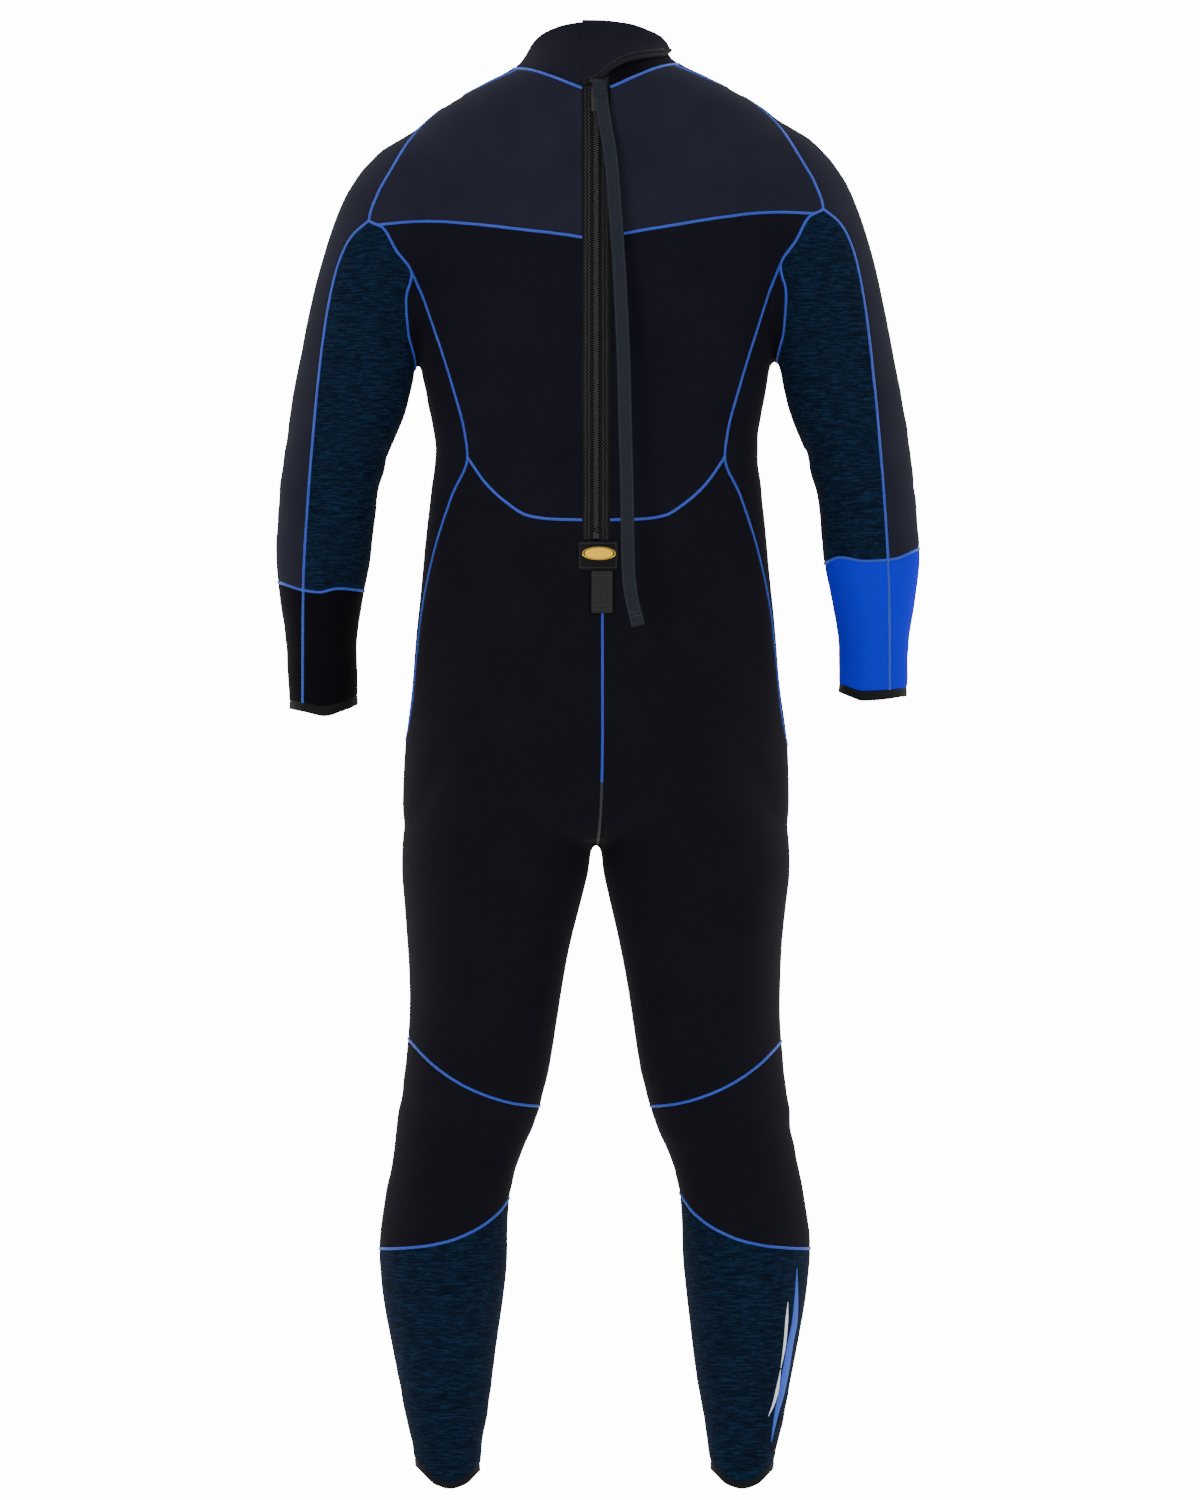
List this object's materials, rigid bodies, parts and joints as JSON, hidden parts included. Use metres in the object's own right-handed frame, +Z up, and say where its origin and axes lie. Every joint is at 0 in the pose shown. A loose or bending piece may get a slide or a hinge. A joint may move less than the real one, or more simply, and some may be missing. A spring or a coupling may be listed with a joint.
{
  "type": "full wetsuit",
  "caption": "Full-length neoprene wetsuit with a back zip, webbing pull leash, collar flap, heathered sleeve and calf panels and one bright forearm.",
  "frame": {"origin": "centre of the neck opening at the top of the collar", "axes": "+Z up the body, +Y the way the wearer faces, +X the wearer's right; the zip is on the -Y side"},
  "size_m": [0.6538, 0.2802, 1.5066],
  "materials": {
    "knit_yoke": "matt",
    "knit_black": "matt",
    "knit_heather": "matt",
    "knit_blue": "matt",
    "binding": "matt",
    "zip_cloth": "matt",
    "zip_plastic": "satin",
    "zip_metal": "satin",
    "webbing": "matt",
    "hook_loop": "matt",
    "badge_print": "satin",
    "stitch": "satin"
  },
  "bodies": {
    "suit": {"collar_band": "knit_yoke", "collar_loop_patch": "hook_loop", "chest_panel": "knit_black", "back_yoke_left": "knit_yoke", "back_yoke_right": "knit_yoke", "mid_back_left": "knit_black", "mid_back_right": "knit_black", "side_panel_left": "knit_black", "side_panel_right": "knit_black", "seat_panel_left": "knit_black", "seat_panel_right": "knit_black", "front_thigh_left": "knit_black", "front_thigh_right": "knit_black", "sleeve_outer_left": "knit_black", "sleeve_outer_right": "knit_black", "sleeve_inner_left": "knit_heather", "sleeve_inner_right": "knit_heather", "knee_back_left": "knit_black", "knee_back_right": "knit_black", "knee_pad_left": "knit_black", "knee_pad_right": "knit_black", "zip_tape_left": "zip_cloth", "zip_tape_right": "zip_cloth", "zip_teeth_left": "zip_plastic", "zip_teeth_right": "zip_plastic", "zip_bottom_stop": "zip_plastic", "zip_top_stops": "zip_plastic", "zip_guard": "zip_cloth", "label_patch": "zip_cloth", "label_badge": "badge_print"},
    "slider": {"zip_slider": "zip_metal", "pull_pin": "zip_metal"},
    "pull": {"pull_tab": "zip_plastic", "pull_leash": "webbing"},
    "flap": {"collar_flap": "knit_yoke", "flap_edge_binding": "binding", "flap_hook_patch": "hook_loop"},
    "keeper": {"keeper_tab": "hook_loop"},
    "forearm_left": {"forearm_outer_left": "knit_black", "forearm_inner_left": "knit_black", "wrist_binding_left": "binding"},
    "shin_left": {"calf_left": "knit_heather", "ankle_binding_left": "binding"},
    "forearm_right": {"forearm_outer_right": "knit_blue", "forearm_inner_right": "knit_blue", "wrist_binding_right": "binding"},
    "shin_right": {"calf_right": "knit_heather", "ankle_binding_right": "binding"}
  },
  "joints": [
    {"name": "zip_slide", "type": "slide", "parent": "suit", "child": "slider", "axis": [0, -0.0379, -0.9993], "range_m": [0, 0.435]},
    {"name": "pull_swing", "type": "hinge", "parent": "slider", "child": "pull", "pos_m": [0, -0.08904, -0.0565], "axis": [-1, 0, 0], "range_deg": [0, 85]},
    {"name": "flap_open", "type": "hinge", "parent": "suit", "child": "flap", "pos_m": [-0.0145, -0.086, -0.03], "axis": [0, 0, -1], "range_deg": [0, 95], "stiffness_Nm_per_rad": 0.02},
    {"name": "keeper_lift", "type": "hinge", "parent": "suit", "child": "keeper", "pos_m": [0.006, -0.11, -0.5585], "axis": [-1, 0, 0], "range_deg": [0, 120], "stiffness_Nm_per_rad": 0.01},
    {"name": "elbow_left", "type": "hinge", "parent": "suit", "child": "forearm_left", "pos_m": [-0.267, -0.006, -0.437], "axis": [1, 0, 0], "range_deg": [0, 90], "stiffness_Nm_per_rad": 3, "deforming": ["sleeve_outer_left", "sleeve_inner_left"]},
    {"name": "knee_left", "type": "hinge", "parent": "suit", "child": "shin_left", "pos_m": [-0.145, -0.004, -1.15], "axis": [-1, 0, 0], "range_deg": [0, 90], "stiffness_Nm_per_rad": 2.5, "deforming": ["knee_back_left", "knee_pad_left"]},
    {"name": "elbow_right", "type": "hinge", "parent": "suit", "child": "forearm_right", "pos_m": [0.267, -0.006, -0.437], "axis": [1, 0, 0], "range_deg": [0, 90], "stiffness_Nm_per_rad": 3, "deforming": ["sleeve_outer_right", "sleeve_inner_right"]},
    {"name": "knee_right", "type": "hinge", "parent": "suit", "child": "shin_right", "pos_m": [0.145, -0.004, -1.15], "axis": [-1, 0, 0], "range_deg": [0, 90], "stiffness_Nm_per_rad": 2.5, "deforming": ["knee_back_right", "knee_pad_right"]}
  ]
}
